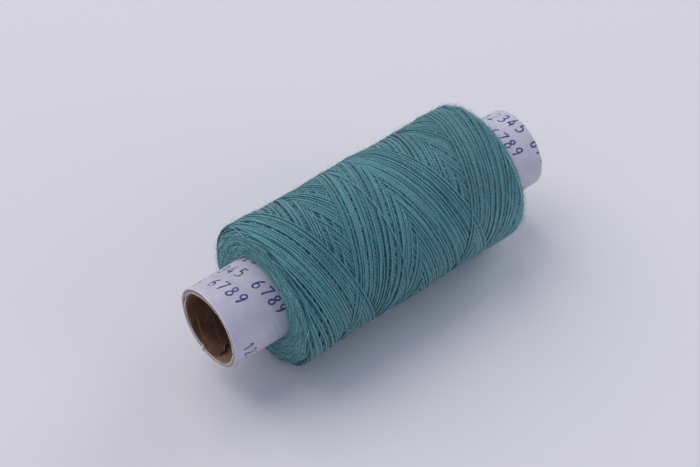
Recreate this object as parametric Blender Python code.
"""A cross-wound package of sewing thread on a spiral-wound paper tube.

The tube's axis runs along X, and the package lies on its side on the plane
z = 0, on the narrow flat that the soft winding takes where it bears.  The
origin is below the middle of the tube, at the middle of the bottom of the
bounding box.  All lengths are in metres.

The tube is four paper strips, each laid as a helix whose edges butt.  The
strips have the same lead and their seams are staggered, so no two seams lie
over each other.  The thread is one continuous length, and here it is the
solid that its turns fill.
"""
import math

import bmesh
import bpy

# ------------------------------------------------------------ dimensions ---
TUBE_LENGTH = 0.0660
TUBE_OUTER_RADIUS = 0.0072
COVER_THICKNESS = 0.00010        # white printed paper
BODY_PLY_THICKNESS = 0.00040     # grey-brown board, two plies
LINER_THICKNESS = 0.00020        # brown kraft paper, glazed
GLUE_LINE = 0.00002              # between one ply and the next

STRIP_LEAD = 0.0121              # advance of a strip in one turn of the tube
SEAM_GAP = 0.00012               # between the butting edges of a strip, along X

WINDING_RADIUS = 0.0125
WINDING_FRONT = -0.0226          # outermost place of the front face
WINDING_BACK = 0.0244            # outermost place of the back face
FRONT_SHOULDER = (0.0012, 0.0022)    # along X, across X
BACK_SHOULDER = (0.0018, 0.0016)
FACE_DISH = 0.0002               # how far the faces lean in at the tube
WINDING_ON_TUBE_GAP = 0.00003

REST_FLAT_ANGLE = math.radians(12.0)   # arc that bears on the surface
SEGMENTS = 40                    # sides of every round piece
SHOULDER_STEPS = 5

AXIS_HEIGHT = WINDING_RADIUS * math.cos(REST_FLAT_ANGLE / 2)

# ---------------------------------------------------------- round pieces ---
# Every round piece has the same corners.  The first side, at the bottom, is
# the rest flat, and the others share what is left of the circle equally, so
# that one ply nests in the next with an even glue line.
STEP = (2 * math.pi - REST_FLAT_ANGLE) / (SEGMENTS - 1)


def corner(k):
    """Angle of corner k, counted from straight down, for any whole k."""
    turn, side = divmod(k, SEGMENTS)
    return 2 * math.pi * turn + REST_FLAT_ANGLE / 2 + side * STEP


def on_circle(x, radius, angle):
    """The point at an angle from straight down on a faceted cylinder."""
    turn = math.floor((angle - corner(0)) / (2 * math.pi))
    first = corner(0) + 2 * math.pi * turn
    k = min(int((angle - first) / STEP + 1e-9), SEGMENTS - 1)
    a0 = first + k * STEP
    a1 = first + (k + 1) * STEP if k < SEGMENTS - 1 else first + 2 * math.pi
    t = (angle - a0) / (a1 - a0)
    y = radius * ((1 - t) * math.sin(a0) + t * math.sin(a1))
    z = -radius * ((1 - t) * math.cos(a0) + t * math.cos(a1))
    return (x, y, z + AXIS_HEIGHT)


# --------------------------------------------------------------- tools -----
def clear_scene():
    for obj in list(bpy.data.objects):
        bpy.data.objects.remove(obj, do_unlink=True)


def make_material(name, colour, roughness, metallic=0.0):
    material = bpy.data.materials.new(name)
    material.use_nodes = True
    shader = material.node_tree.nodes["Principled BSDF"]
    shader.inputs["Base Color"].default_value = (*colour, 1.0)
    shader.inputs["Roughness"].default_value = roughness
    shader.inputs["Metallic"].default_value = metallic
    material.diffuse_color = (*colour, 1.0)
    return material


def finish_object(name, bm, material):
    """Turn a bmesh into a named object with smooth round faces."""
    bmesh.ops.recalc_face_normals(bm, faces=bm.faces[:])
    mesh = bpy.data.meshes.new(name)
    bm.to_mesh(mesh)
    bm.free()
    mesh.materials.append(material)
    mesh.shade_smooth()
    mesh.set_sharp_from_angle(angle=math.radians(35))
    obj = bpy.data.objects.new(name, mesh)
    bpy.context.scene.collection.objects.link(obj)
    return obj


# ---------------------------------------------------------- paper strips ---
def strip_ply(name, inner, outer, stagger, material):
    """A paper strip wound as a helix from end to end of the tube.

    In the strip's own angle a, its lower edge is at
    x = -L/2 + lead * a / 2pi and its upper edge is one lead higher, less the
    seam gap.  Both are cut off square at the ends of the tube, so the strip
    begins and ends in a long point.
    """
    half = TUBE_LENGTH / 2
    width = STRIP_LEAD - SEAM_GAP
    per_angle = STRIP_LEAD / (2 * math.pi)

    def lower(a):
        return -half + per_angle * (a - stagger)

    def angle_of_lower(x):
        return stagger + (x + half) / per_angle

    start = angle_of_lower(-half - width)
    bend_in = angle_of_lower(-half)
    bend_out = angle_of_lower(half - width)
    end = angle_of_lower(half)

    angles = [start, bend_in, bend_out, end]
    k = -3 * SEGMENTS
    while corner(k) < end:
        if corner(k) > start:
            angles.append(corner(k))
        k += 1
    angles.sort()
    kept = [angles[0]]
    for a in angles[1:]:
        if a - kept[-1] > 1e-4:
            kept.append(a)

    bm = bmesh.new()

    def add(x, radius, a):
        return bm.verts.new(on_circle(x, radius, a))

    tip_in = (add(-half, inner, kept[0]), add(-half, outer, kept[0]))
    tip_out = (add(half, inner, kept[-1]), add(half, outer, kept[-1]))
    sections = []
    for a in kept[1:-1]:
        low = max(-half, lower(a))
        high = min(half, lower(a) + width)
        sections.append((add(low, inner, a), add(high, inner, a),
                         add(high, outer, a), add(low, outer, a)))
    for here, there in zip(sections, sections[1:]):
        for i in range(4):
            j = (i + 1) % 4
            bm.faces.new((here[i], here[j], there[j], there[i]))
    for tip, section in ((tip_in, sections[0]), (tip_out, sections[-1])):
        bm.faces.new((tip[0], section[1], section[0]))
        bm.faces.new((tip[1], section[3], section[2]))
        bm.faces.new((tip[0], section[0], section[3], tip[1]))
        bm.faces.new((tip[1], section[2], section[1], tip[0]))
    return finish_object(name, bm, material)


# ----------------------------------------------------------- the winding ---
def winding_profile(bore):
    """Closed outline of the winding, (x, radius), round one way."""
    def shoulder(face_x, size, sign):
        """Quarter of a superellipse from the face out to the rim."""
        points = []
        for i in range(SHOULDER_STEPS + 1):
            t = i / SHOULDER_STEPS * math.pi / 2
            along = size[0] * (1 - math.sin(t) ** 0.9)
            across = size[1] * (1 - math.cos(t) ** 0.9)
            points.append((face_x + sign * (size[0] - along),
                           WINDING_RADIUS - across))
        return points

    # From the rim down to the face: t = 0 on the rim, t = pi/2 on the face.
    front = shoulder(WINDING_FRONT + FRONT_SHOULDER[0], FRONT_SHOULDER, -1)
    back = shoulder(WINDING_BACK - BACK_SHOULDER[0], BACK_SHOULDER, +1)
    outline = [(WINDING_FRONT + FACE_DISH, bore)]
    outline += list(reversed(front))
    outline += back
    outline += [(WINDING_BACK - FACE_DISH, bore)]
    return outline


def winding(name, material):
    bore = TUBE_OUTER_RADIUS + WINDING_ON_TUBE_GAP
    outline = winding_profile(bore)
    bm = bmesh.new()
    rings = []
    for k in range(SEGMENTS):
        rings.append([bm.verts.new(on_circle(x, r, corner(k)))
                      for x, r in outline])
    count = len(outline)
    for k in range(SEGMENTS):
        here, there = rings[k], rings[(k + 1) % SEGMENTS]
        for i in range(count):
            j = (i + 1) % count
            bm.faces.new((here[i], here[j], there[j], there[i]))
    return finish_object(name, bm, material)


# ------------------------------------------------------------------ build --
def main():
    clear_scene()
    white_paper = make_material("cover_paper", (0.62, 0.61, 0.70), 0.55)
    board = make_material("tube_board", (0.30, 0.23, 0.17), 0.85)
    core_board = make_material("tube_core_board", (0.26, 0.20, 0.15), 0.85)
    kraft = make_material("liner_kraft", (0.10, 0.06, 0.04), 0.70)
    thread = make_material("thread", (0.058, 0.165, 0.205), 0.85)

    outer = TUBE_OUTER_RADIUS
    plies = (("cover_ply", COVER_THICKNESS, white_paper),
             ("outer_body_ply", BODY_PLY_THICKNESS, board),
             ("inner_body_ply", BODY_PLY_THICKNESS, core_board),
             ("inner_liner_ply", LINER_THICKNESS, kraft))
    for i, (name, thickness, material) in enumerate(plies):
        stagger = math.radians(20 + 90 * i)
        strip_ply(name, outer - thickness, outer, stagger, material)
        outer -= thickness + GLUE_LINE
    winding("thread_winding", thread)


main()
